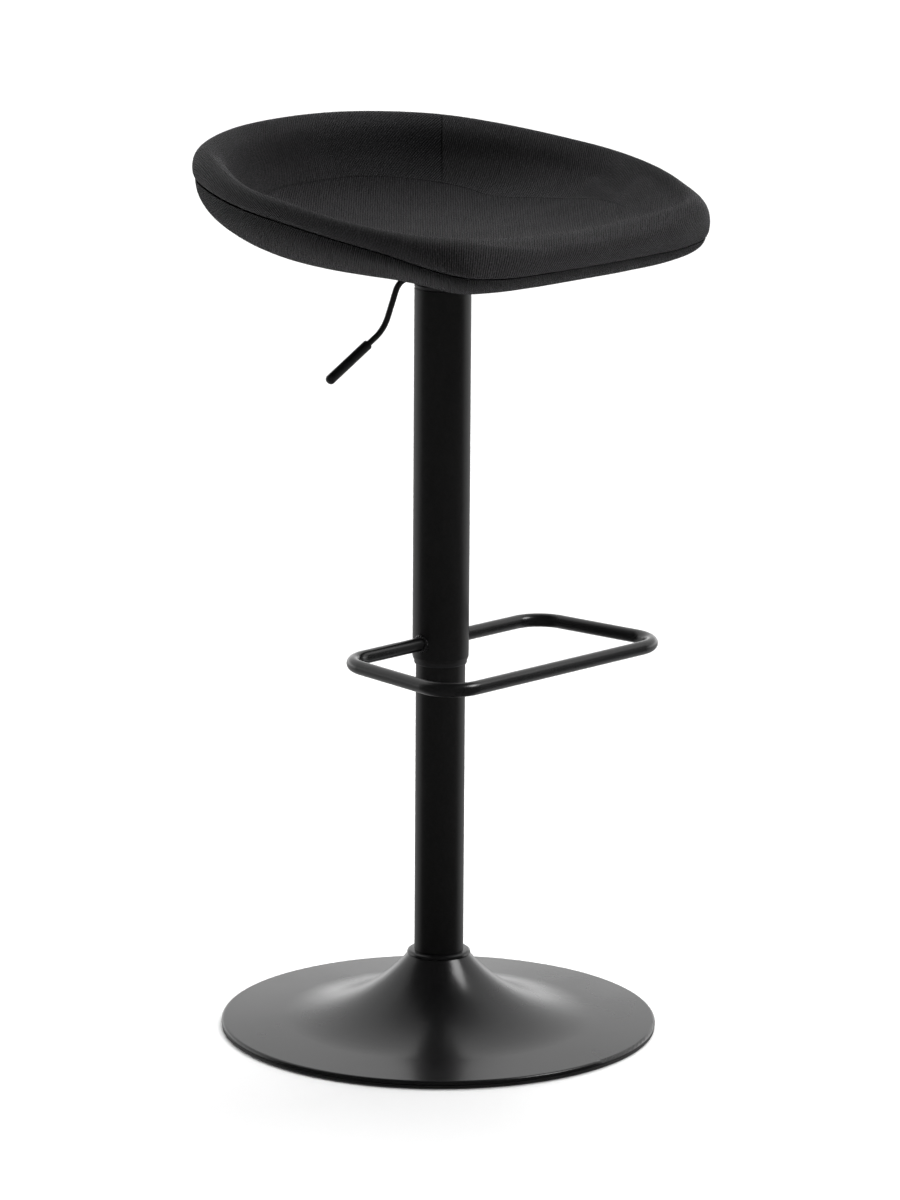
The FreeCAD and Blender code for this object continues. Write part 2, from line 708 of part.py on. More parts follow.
# ---------------------------------------------------------------- release lever
lever_path = [
    Vector(number("lever_inner_end"), 0, number("lever_height")),
    Vector(-number("lever_bend_x"), 0, number("lever_height")),
    Vector(-number("lever_knee_x"), 0, number("lever_knee_z")),
    Vector(-number("lever_tip_x"), 0, number("lever_tip_z")),
]
lever_wire = rounded_wire(lever_path, [number("lever_bend"), number("lever_knee")])
lever_rod = swept("lever_rod_shape", lever_wire, number("lever_radius"))
grip_direction = (lever_path[3] - lever_path[2]).normalize()
grip_rotation = Rotation(Vector(0, 0, 1), grip_direction)
lever_boss = cylinder("lever_boss", "lever_boss_radius", "lever_slot - 0.6",
                      ("-lever_pivot", "lever_slot / 2 - 0.3", "lever_height"),
                      Rotation(Vector(1, 0, 0), 90))
lever_solid = combined("Part::MultiFuse", "lever_solid", [lever_rod, lever_boss])
lever_bore = cylinder("lever_bore", "2.5 + running_gap", "20", ("-lever_pivot", "10", "lever_height"),
                      Rotation(Vector(1, 0, 0), 90))
keep("release_lever", cut("release_lever_cut", lever_solid, lever_bore))

grip_start = lever_path[3] - grip_direction * (number("grip_length") - 2)
grip_blank = doc.addObject("Part::Cylinder", "grip_blank")
grip_blank.setExpression("Radius", bound("grip_radius"))
grip_blank.setExpression("Height", bound("grip_length"))
grip_blank.Placement = Placement(grip_start, grip_rotation)
doc.recompute()
grip_rounded = doc.addObject("Part::Fillet", "grip_rounded")
grip_rounded.Base = grip_blank
grip_edges = []
for index, edge in enumerate(grip_blank.Shape.Edges, 1):
    if edge.Closed and len(edge.Vertexes) == 1:
        far_end = (edge.CenterOfMass - grip_start).Length > 10
        grip_edges.append((index, 4.0 if far_end else 1.5, 4.0 if far_end else 1.5))
grip_rounded.Edges = grip_edges
keep("lever_grip", cut("lever_grip_cut", grip_rounded, lever_rod))

# ---------------------------------------------------------------- seat
# The seat is drawn in upright sections round its centre. Each section is a set of
# (radius, height) curves that neighbouring pieces share, lofted right round.
CURVE_STEPS = 7


def underside(station):
    """The outside of the under cover, from the core out to the seam."""
    seam_radius, seam_height = station[1], station[2]
    turn_up = station[6]
    core = number("seat_core")
    bottom = number("seat_bottom")
    points = []
    for step in range(CURVE_STEPS + 1):
        share = math.sin(math.pi / 2 * step / CURVE_STEPS)
        radius = core + (seam_radius - core) * share
        lift = 1 - math.sqrt(max(0.0, 1 - ((radius - core) / (seam_radius - core)) ** turn_up))
        points.append(Vector(radius, 0, bottom + (seam_height - bottom) * lift))
    return points


def top_side(station):
    """The outside of the top cover, from the core over the crest and down to the seam."""
    seam_radius, seam_height, crest_radius, crest_height, roll = station[1:6]
    core = number("seat_core")
    dish = number("dish_height")
    rise = crest_height - dish
    sharpness = 2.0 + 6.0 * min(1.0, max(0.0, (rise - 20.0) / 60.0))
    points = [Vector(core, 0, dish)]
    inner_end = crest_radius - 13.0
    for share in (0.4, 0.65, 0.8, 0.92, 1.0):
        radius = core + (inner_end - core) * share
        lift = (rise - 9.0) * ((radius - core) / (inner_end - core)) ** sharpness
        points.append(Vector(radius, 0, dish + lift))
    points.append(Vector(crest_radius, 0, crest_height))
    outermost = seam_radius + roll
    outer_height = seam_height + 0.4 * (crest_height - seam_height)
    shoulder = crest_radius + 0.75 * (outermost - crest_radius)
    shoulder_height = outer_height + 0.72 * (crest_height - outer_height)
    points.append(Vector(shoulder, 0, shoulder_height))
    points.append(Vector(outermost, 0, outer_height))
    points.append(Vector(seam_radius, 0, seam_height))
    return points


def inset(points, distance, inward_side, from_wall=False):
    """The points moved sideways by a distance, to one side of their own line."""
    moved = []
    for index, point in enumerate(points):
        before = points[max(0, index - 1)]
        after = points[min(len(points) - 1, index + 1)]
        along = (after - before).normalize()
        if index == 0:
            along = Vector(1, 0, 0)
        if index == len(points) - 1 and from_wall:
            along = Vector(0, 0, 1)
        moved.append(point + Vector(-along.z, 0, along.x) * (distance * inward_side))
    return moved


def smooth_edge(points):
    """One smooth curve through the points."""
    curve = Part.BSplineCurve()
    curve.interpolate(points)
    return curve.toShape()


def section_wire(first, second, angle):
    """A closed section between two curves that run outwards, turned to its angle."""
    edges = [
        smooth_edge(first),
        Part.LineSegment(first[-1], second[-1]).toShape(),
        smooth_edge(second),
        Part.LineSegment(second[0], first[0]).toShape(),
    ]
    wire = Part.Wire(Part.__sortEdges__(edges))
    wire.rotate(Vector(0, 0, 0), Vector(0, 0, 1), angle - 90)
    return wire


def station_at(angle):
    """The sizes of the section at an angle from the front, read from the sheet."""
    return [angle] + [number("%s_at_%ddeg" % (field, angle)) for field in STATION_FIELDS]


def stations_past_middle():
    """The stations of the left side, with two mirrored ones past each end."""
    stations = [station_at(row[0]) for row in SEAT_STATIONS]
    before = [(-station[0], station) for station in reversed(stations[1:3])]
    side = [(station[0], station) for station in stations]
    after = [(360 - station[0], station) for station in reversed(stations[-3:-1])]
    return before + side + after


def seat_piece(name, first_curve, second_curve):
    """A seat piece between two curves of the section.

    The left half is lofted from a little past the middle of the front round to a little
    past the middle of the back, trimmed at the middle plane and mirrored. Its faces on that
    plane and its wall at the core are left out, flat discs close the core, and all the
    faces are sewn into one solid.
    """
    wires = []
    for angle, station in stations_past_middle():
        wires.append(section_wire(first_curve(station), second_curve(station), angle))
    left_side = Part.makeBox(600, 1200, 1200, Vector(0, -600, 0))
    half = Part.makeLoft(wires, True, False, False).common(left_side)
    core = number("seat_core")
    faces = []
    core_edges = {}
    for face in half.Faces:
        radii = [math.hypot(vertex.X, vertex.Y) for vertex in face.Vertexes]
        if max(abs(vertex.X) for vertex in face.Vertexes) < 1e-3 and abs(face.CenterOfMass.x) < 1e-3:
            continue
        if max(radii) > core + 1e-3:
            faces.append(face)
            continue
        for edge in face.Edges:
            if edge.BoundBox.ZLength < 1e-4:
                core_edges[round(edge.BoundBox.ZMin, 3)] = edge
    across = Vector(1, 0, 0)
    faces += [face.mirror(Vector(0, 0, 0), across) for face in faces]
    for edge in core_edges.values():
        circle = Part.Wire([edge, edge.mirror(Vector(0, 0, 0), across)])
        faces.append(Part.Face(circle))
    shell = Part.makeShell(faces)
    shell.sewShape()
    solid = Part.makeSolid(shell)
    if solid.Volume < 0:
        solid.reverse()
    obj = doc.addObject("Part::Feature", name + "_form")
    obj.Shape = solid
    obj.Placement = Placement(Vector(0, 0, 0), Rotation())
    return obj


def shell_low(station):
    """The shell's underside."""
    return inset(underside(station), number("under_cover_thick"), 1, True)


def shell_high(station):
    """The shell's top side."""
    return inset(underside(station), number("under_cover_thick + shell_thick"), 1, True)


def foam_top(station):
    """The foam's outside, just under the top cover."""
    return inset(top_side(station), number("cover_thick"), -1)


under_cover_form = seat_piece("under_cover", underside, shell_low)
shell_form = seat_piece("seat_shell", shell_low, shell_high)
keep("seat_foam", seat_piece("seat_foam", shell_high, foam_top))
keep("top_cover", seat_piece("top_cover", foam_top, top_side))
cover_drill = combined("Part::MultiFuse", "cover_drill", [
    cylinder("cover_hole_%d" % index, "3.4", "20", (across, up, "seat_bottom - 8"))
    for index, (across, up) in enumerate(bolt_places)])
keep("under_cover", cut("under_cover_cut", under_cover_form, cover_drill))
shell_drill_shapes = []
for index, (across, up) in enumerate(bolt_places):
    shell_drill_shapes.append(cylinder("shell_hole_%d" % index, "4.2", "30", (across, up, "seat_bottom - 8")))
    shell_drill_shapes.append(cylinder("shell_recess_%d" % index, "9", "3", (across, up, NUT_TOP + " - 1.2")))
shell_drill = combined("Part::MultiFuse", "shell_drill", shell_drill_shapes)
keep("seat_shell", cut("seat_shell_cut", shell_form, shell_drill))

# ---------------------------------------------------------------- check and export
doc.recompute()
problems = []
for obj in doc.Objects:
    if "Invalid" in obj.State or "Error" in obj.State:
        problems.append("%s: %s" % (obj.Name, obj.State))
for name, obj in parts.items():
    if obj.Shape.isNull() or not obj.Shape.isValid() or not obj.Shape.Solids:
        problems.append("%s: no valid solid" % name)
if problems:
    sys.exit("\n".join(problems))
for name, obj in parts.items():
    obj.Shape.exportStep("parts/%s.step" % name)
    print("%-20s %9.1f mm3  %d solid(s)" % (name, obj.Shape.Volume, len(obj.Shape.Solids)))
print(len(parts), "parts")
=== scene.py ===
"""Looks of the gas-lift bar stool: fabric bucket seat, painted column, footrest and spun base.

Metres, in the part's own frame: the origin is on the floor at the column's axis, +Z is up,
the seat's front is towards -Y and the release lever is on the -X side.
"""
import json
import math

import bpy
import numpy as np
from mathutils import Matrix, Vector
from mathutils.bvhtree import BVHTree


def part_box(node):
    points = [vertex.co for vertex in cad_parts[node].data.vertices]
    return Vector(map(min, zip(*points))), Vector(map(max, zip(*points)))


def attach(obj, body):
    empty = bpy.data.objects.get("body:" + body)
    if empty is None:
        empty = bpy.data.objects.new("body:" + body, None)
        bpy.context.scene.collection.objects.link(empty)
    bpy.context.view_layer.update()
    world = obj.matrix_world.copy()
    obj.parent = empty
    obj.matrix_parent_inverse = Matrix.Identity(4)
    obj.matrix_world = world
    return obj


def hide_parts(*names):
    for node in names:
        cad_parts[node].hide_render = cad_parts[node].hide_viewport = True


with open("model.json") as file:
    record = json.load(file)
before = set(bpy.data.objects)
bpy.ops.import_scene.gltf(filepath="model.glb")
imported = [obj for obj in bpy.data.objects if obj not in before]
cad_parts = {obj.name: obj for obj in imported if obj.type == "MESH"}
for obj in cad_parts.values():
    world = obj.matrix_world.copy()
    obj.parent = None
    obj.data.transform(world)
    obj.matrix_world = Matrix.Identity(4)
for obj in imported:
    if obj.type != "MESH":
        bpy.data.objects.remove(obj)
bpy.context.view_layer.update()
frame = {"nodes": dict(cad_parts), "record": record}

scene = bpy.context.scene

# ---------------------------------------------------------------- seat dimensions
# One row per upright section of the seat, in millimetres, from the front (0 degrees)
# round to the back (180). Both sides are the same. The covers are padded, so in places they
# stand a few millimetres off the CAD solids.
# angle, seam radius, seam height, crest radius, crest height, bulge past the seam, turn-up
SEAT_STATIONS = np.array([
    (0, 210.0, 813.0, 178.0, 847.0, 5.0, 6.0),
    (10, 213.0, 813.0, 181.0, 847.5, 5.0, 6.0),
    (20, 222.0, 813.0, 191.0, 849.0, 5.0, 6.0),
    (33, 247.0, 815.0, 220.0, 853.0, 4.0, 5.5),
    (41, 261.0, 819.0, 243.0, 857.0, 4.0, 5.0),
    (48, 257.0, 826.0, 247.0, 859.0, 5.0, 3.0),
    (58, 250.0, 838.0, 244.0, 863.0, 3.5, 2.3),
    (70, 245.0, 848.0, 240.0, 870.0, 3.0, 2.3),
    (85, 239.0, 857.0, 234.5, 878.5, 3.0, 2.5),
    (100, 238.0, 863.0, 232.5, 885.0, 3.0, 2.6),
    (120, 241.0, 870.0, 229.0, 896.0, 3.0, 2.6),
    (135, 246.5, 874.0, 234.0, 903.0, 3.0, 2.6),
    (155, 240.0, 880.0, 228.0, 909.0, 3.0, 2.5),
    (180, 228.5, 884.0, 220.0, 912.0, 3.0, 2.4),
])
SEAT_CORE = 30.0
SEAT_BOTTOM = 791.0
DISH_HEIGHT = 827.0
# where the seam round the seat panel runs: angle from the front, share of the way out
PANEL_SEAM = np.array([
    (0, 0.80), (20, 0.76), (40, 0.71), (56, 0.68), (76, 0.66), (89, 0.61),
    (100, 0.58), (111, 0.55), (119, 0.55), (126, 0.58), (139, 0.61), (160, 0.63), (180, 0.63),
])
# the panel seam fades in over this many degrees, starting this far from the front
PANEL_SEAM_START = 50.0
PANEL_SEAM_FADE = 35.0
BACK_SEAM_ANGLE = 135.0
# how deep the panel seam is behind the back seams, as a share of its depth in front of them
PANEL_SEAM_BEHIND = 0.45
# how far the wings' cloth is turned, and the radius that the back's cloth is wrapped round
WING_TURN = math.radians(20)
WRAP_RADIUS = 0.235

# the top cover's section, in millimetres and shares
DISH_RUN = (0.4, 0.65, 0.8, 0.92, 1.0)
CREST_ROLL = 13.0
CREST_ROLL_DROP = 9.0
FLAT_RISE = 20.0
RISE_RANGE = 60.0
FLAT_POWER = 2.0
EXTRA_POWER = 6.0
OUTERMOST_SHARE = 0.35
SHOULDER_OUT = 0.75
SHOULDER_UP = 0.72

# the mesh
AROUND = 144
TOP_STEPS = 44
UNDER_STEPS = 30
SEAM_STEP = round(TOP_STEPS * 0.52)
ANGLES = np.array([-180 + 360 * column / AROUND for column in range(AROUND)])
MM = 0.001


def on_curve(knots, values, places):
    """Values at places along a smooth curve (cubic Hermite) through values at knots."""
    slopes = np.gradient(values, knots, axis=0)
    index = np.clip(np.searchsorted(knots, places) - 1, 0, len(knots) - 2)
    gap = knots[index + 1] - knots[index]
    part = (places - knots[index]) / gap
    if values.ndim > 1:
        part = part[..., None]
        gap = gap[..., None]
    start = values[index] * (2 * part ** 3 - 3 * part ** 2 + 1)
    start = start + slopes[index] * gap * (part ** 3 - 2 * part ** 2 + part)
    end = values[index + 1] * (3 * part ** 2 - 2 * part ** 3)
    end = end + slopes[index + 1] * gap * (part ** 3 - part ** 2)
    return start + end


def both_ways(table):
    """A table by angle from 0 to 180, with mirrored rows added past each end."""
    before = table[3:0:-1].copy()
    before[:, 0] *= -1
    after = table[-2:-4:-1].copy()
    after[:, 0] = 360 - after[:, 0]
    return np.concatenate([before, table, after])


STATIONS = both_ways(SEAT_STATIONS)
SEAM_TABLE = both_ways(PANEL_SEAM)


def section_sizes(angle):
    """The seat's section sizes at an angle in degrees from the front, either side."""
    return on_curve(STATIONS[:, 0], STATIONS[:, 1:], np.array(abs(angle)))


def panel_seam_share(angle):
    """How far out the seam round the seat panel runs at an angle."""
    return float(on_curve(SEAM_TABLE[:, 0], SEAM_TABLE[:, 1], np.array(abs(angle))))


def lengths_along(points):
    """How far along a line through points in a plane each of them lies."""
    return np.concatenate([[0.0], np.cumsum(np.hypot(*np.diff(points, axis=0).T))])


def top_section(angle, shares):
    """Points (radius, height) of the top cover at shares of the way from centre to seam."""
    seam_radius, seam_height, crest_radius, crest_height, bulge, _ = section_sizes(angle)
    rise = crest_height - DISH_HEIGHT
    power = FLAT_POWER + EXTRA_POWER * min(1.0, max(0.0, (rise - FLAT_RISE) / RISE_RANGE))
    points = [(0.0, DISH_HEIGHT), (SEAT_CORE, DISH_HEIGHT)]
    reach = crest_radius - CREST_ROLL - SEAT_CORE
    for share in DISH_RUN:
        points.append((SEAT_CORE + reach * share,
                       DISH_HEIGHT + (rise - CREST_ROLL_DROP) * share ** power))
    points.append((crest_radius, crest_height))
    outermost = seam_radius + bulge
    outer_height = seam_height + OUTERMOST_SHARE * (crest_height - seam_height)
    points.append((crest_radius + SHOULDER_OUT * (outermost - crest_radius),
                   outer_height + SHOULDER_UP * (crest_height - outer_height)))
    points.append((outermost, outer_height))
    points.append((seam_radius + 0.5, seam_height + 1.0))
    points.append((seam_radius - 3.0, seam_height + 0.4))
    points = np.array(points)
    along = lengths_along(points)
    return on_curve(along, points, shares * along[-1])


def under_section(angle, shares):
    """Points (radius, height) of the under cover from its core to the seam."""
    seam_radius, seam_height, _, _, _, turn_up = section_sizes(angle)
    turn = np.sin(shares * math.pi / 2)
    radius = SEAT_CORE + (seam_radius - SEAT_CORE) * turn
    lift = 1 - np.sqrt(np.maximum(0.0, 1 - turn ** turn_up))
    height = SEAT_BOTTOM + (seam_height - SEAT_BOTTOM) * lift
    return np.stack([radius, height], axis=1)


# ---------------------------------------------------------------- mesh helpers
def new_piece(name, points, faces, smooth=True):
    """A mesh object from points in metres and faces that list them."""
    mesh = bpy.data.meshes.new(name)
    mesh.from_pydata([tuple(point) for point in points], [], faces)
    mesh.update()
    for polygon in mesh.polygons:
        polygon.use_smooth = smooth
    piece = bpy.data.objects.new(name, mesh)
    scene.collection.objects.link(piece)
    return piece


def grid_faces(rows, columns, closed_rows=False):
    """Quads between rows of points that each run right round."""
    faces = []
    for row in range(rows if closed_rows else rows - 1):
        following = (row + 1) % rows
        for column in range(columns):
            after = (column + 1) % columns
            faces.append((row * columns + column, row * columns + after,
                          following * columns + after, following * columns + column))
    return faces


def add_values(piece, name, values):
    """A number for each point of the mesh, for its material to read."""
    layer = piece.data.attributes.new(name, "FLOAT", "POINT")
    layer.data.foreach_set("value", np.asarray(values, dtype=np.float32))


def add_weave(piece, laid):
    """Lays the cloth's own coordinates, in metres, on each corner of each face."""
    layer = piece.data.uv_layers.new(name="weave")
    for index, polygon in enumerate(piece.data.polygons):
        for loop in polygon.loop_indices:
            layer.data[loop].uv = laid[index][piece.data.loops[loop].vertex_index]


def turned(across, along, angle):
    """Cloth coordinates turned by an angle."""
    return (across * np.cos(angle) - along * np.sin(angle),
            across * np.sin(angle) + along * np.cos(angle))


CLOTH_FRAMES = 20


def puffed(piece, held, pressure, most):
    """Fills the piece with air in a cloth simulation and keeps the result on its mesh.

    held is each point's hold from 0 to 1, and no point ends further than most from where
    it started.
    """
    count = len(piece.data.vertices)
    group = piece.vertex_groups.new(name="held")
    for index, hold in enumerate(held):
        group.add([index], float(hold), "REPLACE")
    cloth = piece.modifiers.new("cloth", "CLOTH")
    settings = cloth.settings
    settings.quality = 6
    settings.mass = 0.2
    settings.tension_stiffness = 20
    settings.compression_stiffness = 20
    settings.shear_stiffness = 8
    settings.bending_stiffness = 0.6
    settings.vertex_group_mass = "held"
    settings.use_pressure = True
    settings.uniform_pressure_force = pressure
    settings.effector_weights.gravity = 0
    cloth.collision_settings.use_collision = False
    cloth.point_cache.frame_start = 1
    cloth.point_cache.frame_end = CLOTH_FRAMES
    start = np.empty(count * 3)
    piece.data.vertices.foreach_get("co", start)
    for frame_number in range(1, CLOTH_FRAMES + 1):
        scene.frame_set(frame_number)
    graph = bpy.context.evaluated_depsgraph_get()
    result = piece.evaluated_get(graph).to_mesh()
    end = np.empty(count * 3)
    result.vertices.foreach_get("co", end)
    piece.evaluated_get(graph).to_mesh_clear()
    move = (end - start).reshape(-1, 3)
    length = np.linalg.norm(move, axis=1)
    move *= (most * np.tanh(length / most) / np.maximum(length, 1e-9))[:, None]
    piece.modifiers.remove(cloth)
    piece.vertex_groups.remove(group)
    piece.data.vertices.foreach_set("co", start + move.reshape(-1))
    piece.data.update()
    scene.frame_set(1)


def subdivided(piece, levels):
    """Adds a subdivision surface and applies it, so that the mesh itself is smooth."""
    modifier = piece.modifiers.new("smooth", "SUBSURF")
    modifier.levels = levels
    modifier.render_levels = levels
    graph = bpy.context.evaluated_depsgraph_get()
    mesh = bpy.data.meshes.new_from_object(piece.evaluated_get(graph), depsgraph=graph)
    piece.modifiers.clear()
    piece.data = mesh
    for polygon in mesh.polygons:
        polygon.use_smooth = True


# ---------------------------------------------------------------- seat covers
# what a grid holds for each point: its place in millimetres, how far out along the cloth it
# is from the middle, and its distance from the column's axis
PLACE = slice(0, 3)
RUN = 3
RADIUS = 4


def seat_grid(section, steps, with_panel_seam=False):
    """A cover's points, row by row out from its middle, each row running right round."""
    columns = []
    for angle in ANGLES:
        shares = np.linspace(0, 1, steps + 1)
        if with_panel_seam:
            seam_share = panel_seam_share(angle)
            inner = np.linspace(0, seam_share, SEAM_STEP + 1)
            outer = np.linspace(seam_share, 1, steps - SEAM_STEP + 1)[1:]
            shares = np.concatenate([inner, outer])
        curve = section(angle, shares)
        radius = curve[:, 0]
        height = curve[:, 1]
        turn = math.radians(angle)
        columns.append(np.stack([radius * math.sin(turn), -radius * math.cos(turn), height,
                                 lengths_along(curve) + radius[0], radius], axis=1))
    return np.stack(columns, axis=1)


def panel_seam_fade():
    """How strong the panel seam is at each angle, from none in front to full at the sides."""
    return np.clip((np.abs(ANGLES) - PANEL_SEAM_START) / PANEL_SEAM_FADE, 0, 1)


def cover(name, rows, seam_row=None):
    """One cover of the seat as a grid from its middle out, with its cloth coordinates.

    Past seam_row, where there is one, the cloth of the wings and the back runs its own way.
    """
    count = len(rows)
    points = rows[:, :, PLACE].reshape(-1, 3) * MM
    faces = grid_faces(count, AROUND)
    points = np.concatenate([points, [rows[0, :, PLACE].mean(axis=0) * MM]])
    middle = len(points) - 1
    faces += [(middle, (column + 1) % AROUND, column) for column in range(AROUND)]
    piece = new_piece(name, points, faces)

    turns = np.radians(ANGLES)
    runs = rows[:, :, RUN] * MM
    flat = (runs * np.sin(turns), runs * -np.cos(turns))
    wing = turned(*flat, WING_TURN * np.sign(ANGLES) * panel_seam_fade())
    round_back = (turns % (2 * math.pi) - math.pi) * -WRAP_RADIUS + 0 * runs
    panels = {"seat": flat, "wing": wing, "back": (round_back, runs)}
    grain = {}
    for panel, (across, along) in panels.items():
        grain[panel] = list(zip(np.append(across.reshape(-1), 0.0), np.append(along.reshape(-1), 0.0)))
    laid = []
    for face in faces:
        row, column = divmod(face[0], AROUND)
        panel = "seat"
        if seam_row is not None and seam_row <= row < count:
            middle_angle = abs(ANGLES[column] + 180.0 / AROUND)
            panel = "wing" if middle_angle < BACK_SEAM_ANGLE else "back"
        laid.append(grain[panel])
    add_weave(piece, laid)
    return piece


# the air pressure in each cover, and how far the cloth may move, in millimetres
TOP_PRESSURE = 1.2
TOP_PUFF = 3.0
UNDER_PRESSURE = 0.8
UNDER_PUFF = 2.0
# the cloth is held in the middle of the dish, along its edge, and over the seat plate
TOP_HELD_ROWS = 6
EDGE_HELD_ROWS = 2
PLATE_RADIUS = 112.0


def build_top_cover():
    """The top cover: seat panel, wings and back panel, filled out between their seams."""
    # the section's first point is the middle itself, which cover() adds once
    rows = seat_grid(top_section, TOP_STEPS, with_panel_seam=True)[1:]
    seam_row = SEAM_STEP - 1
    piece = cover("seat_top_cover", rows, seam_row)
    count = len(rows)
    from_front = np.abs(ANGLES)
    runs = rows[:, :, RUN] * MM
    fade = panel_seam_fade() * np.where(from_front > BACK_SEAM_ANGLE, PANEL_SEAM_BEHIND, 1.0)
    to_panel = runs - runs[seam_row]
    to_back = (from_front - BACK_SEAM_ANGLE) * math.pi / 180 * rows[:, :, RADIUS] * MM
    above = np.clip((np.arange(count) - seam_row) / 2.0, -1, 1)[:, None] + 0 * runs
    # the last number of each call is for the point in the middle, which no seam reaches
    add_values(piece, "to_panel_seam", np.append(to_panel.reshape(-1), -1.0))
    add_values(piece, "panel_seam_depth", np.append((fade + 0 * runs).reshape(-1), 0.0))
    add_values(piece, "to_back_seam", np.append(to_back.reshape(-1), 1.0))
    add_values(piece, "above_panel_seam", np.append(above.reshape(-1), -1.0))
    add_values(piece, "to_edge", np.append((runs[-1] - runs).reshape(-1), 1.0))
    held = np.zeros((count, AROUND))
    held[:TOP_HELD_ROWS] = 1.0
    held[seam_row] = fade
    held[seam_row:, from_front == BACK_SEAM_ANGLE] = 1.0
    held[-EDGE_HELD_ROWS:] = 1.0
    puffed(piece, np.append(held.reshape(-1), 1.0), TOP_PRESSURE, TOP_PUFF * MM)
    return piece


def build_under_cover():
    """The under cover, drawn up round the shell from under the seat plate."""
    rows = seat_grid(under_section, UNDER_STEPS)
    piece = cover("seat_under_cover", rows)
    held = np.zeros((len(rows), AROUND))
    held[rows[:, :, RADIUS] < PLATE_RADIUS] = 1.0
    held[-EDGE_HELD_ROWS:] = 1.0
    puffed(piece, np.append(held.reshape(-1), 1.0), UNDER_PRESSURE, UNDER_PUFF * MM)
    return piece


def surface_tree(piece):
    """A search tree of the piece's surface, for laying stitches on it."""
    mesh = piece.data
    points = [vertex.co.copy() for vertex in mesh.vertices]
    return BVHTree.FromPolygons(points, [tuple(polygon.vertices) for polygon in mesh.polygons])


# the outer seam's stitches, in metres
THREAD_RADIUS = 0.0004
STITCH_LENGTH = 0.0026
STITCH_PITCH = 0.0036
STITCH_RINGS = 5
STITCH_SIDES = 6
# how far out from the seam and up from it the stitches are laid, in millimetres
STITCH_OUT = 0.8
STITCH_UP = 2.6
# as shares of the thread's radius: a stitch's middle stands proud and its ends dip in
STITCH_PROUD = 0.3
STITCH_DIP = 0.9
# the square of the share of its thickness that a stitch keeps at its ends
STITCH_END = 0.04


def outer_seam():
    """The closed line, in metres, that the stitches of the outer seam are laid along."""
    line = []
    for turn in np.radians(ANGLES):
        sizes = section_sizes(math.degrees(turn))
        radius = (sizes[0] + STITCH_OUT) * MM
        height = (sizes[1] + STITCH_UP) * MM
        line.append(Vector((radius * math.sin(turn), -radius * math.cos(turn), height)))
    return line


def build_stitches(name, line, surface):
    """Short rounded stitches laid on a surface along a closed line of points in metres."""
    steps = [0.0]
    for index in range(len(line)):
        steps.append(steps[-1] + (line[(index + 1) % len(line)] - line[index]).length)
    count = int(steps[-1] / STITCH_PITCH)
    points = []
    faces = []
    cell = 0
    for stitch in range(count):
        place = steps[-1] * stitch / count
        while steps[cell + 1] < place:
            cell += 1
        part = (place - steps[cell]) / (steps[cell + 1] - steps[cell])
        start = line[cell]
        end = line[(cell + 1) % len(line)]
        centre, normal, _, _ = surface.find_nearest(start.lerp(end, part))
        along = (end - start).normalized()
        across = along.cross(normal).normalized()
        first = len(points)
        for ring in range(STITCH_RINGS):
            share = ring / (STITCH_RINGS - 1) * 2 - 1
            thickness = THREAD_RADIUS * math.sqrt(max(STITCH_END, 1 - share ** 4))
            middle = (centre + along * (share * STITCH_LENGTH / 2)
                      + normal * THREAD_RADIUS * (STITCH_PROUD - STITCH_DIP * share ** 2))
            for side in range(STITCH_SIDES):
                turn = 2 * math.pi * side / STITCH_SIDES
                points.append(middle + across * (thickness * math.cos(turn))
                              + normal * (thickness * math.sin(turn)))
        for face in grid_faces(STITCH_RINGS, STITCH_SIDES):
            faces.append(tuple(first + corner for corner in face))
        last = first + (STITCH_RINGS - 1) * STITCH_SIDES
        faces.append(tuple(first + side for side in reversed(range(STITCH_SIDES))))
        faces.append(tuple(last + side for side in range(STITCH_SIDES)))
    return new_piece(name, points, faces)


# the weld beads, in metres: the tube they run round, their thickness and how it varies
BEAD_TUBE = 0.0072
BEAD_SIZE = 0.0021
BEAD_RIPPLE = 0.0005
BEAD_UNEVEN = 0.0003
BEAD_RIPPLES = 20
BEAD_STEPS = 120
BEAD_SIDES = 10


def build_weld_bead(name, side):
    """The rippled bead where the footrest's tube meets the sleeve, on the +X or -X side."""
    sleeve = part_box("sleeve")[1].x
    height = (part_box("footrest")[0].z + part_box("footrest")[1].z) / 2
    points = []
    for step in range(BEAD_STEPS):
        turn = 2 * math.pi * step / BEAD_STEPS
        across = BEAD_TUBE * math.sin(turn)
        centre = Vector((math.sqrt(sleeve ** 2 - across ** 2), across, BEAD_TUBE * math.cos(turn)))
        outward = Vector((0.0, math.sin(turn), math.cos(turn)))
        ripple = math.sin(turn * BEAD_RIPPLES) * 0.5 + 0.5
        size = BEAD_SIZE + BEAD_RIPPLE * ripple ** 2 + BEAD_UNEVEN * math.sin(turn * 3 + 1)
        for corner in range(BEAD_SIDES):
            angle = 2 * math.pi * corner / BEAD_SIDES
            sideways = Vector((size * math.sin(angle), 0, 0))
            point = centre + outward * (size * math.cos(angle)) + sideways
            points.append((point.x * side, point.y, point.z + height))
    faces = grid_faces(BEAD_STEPS, BEAD_SIDES, closed_rows=True)
    if side < 0:
        faces = [tuple(reversed(face)) for face in faces]
    return new_piece(name, points, faces)


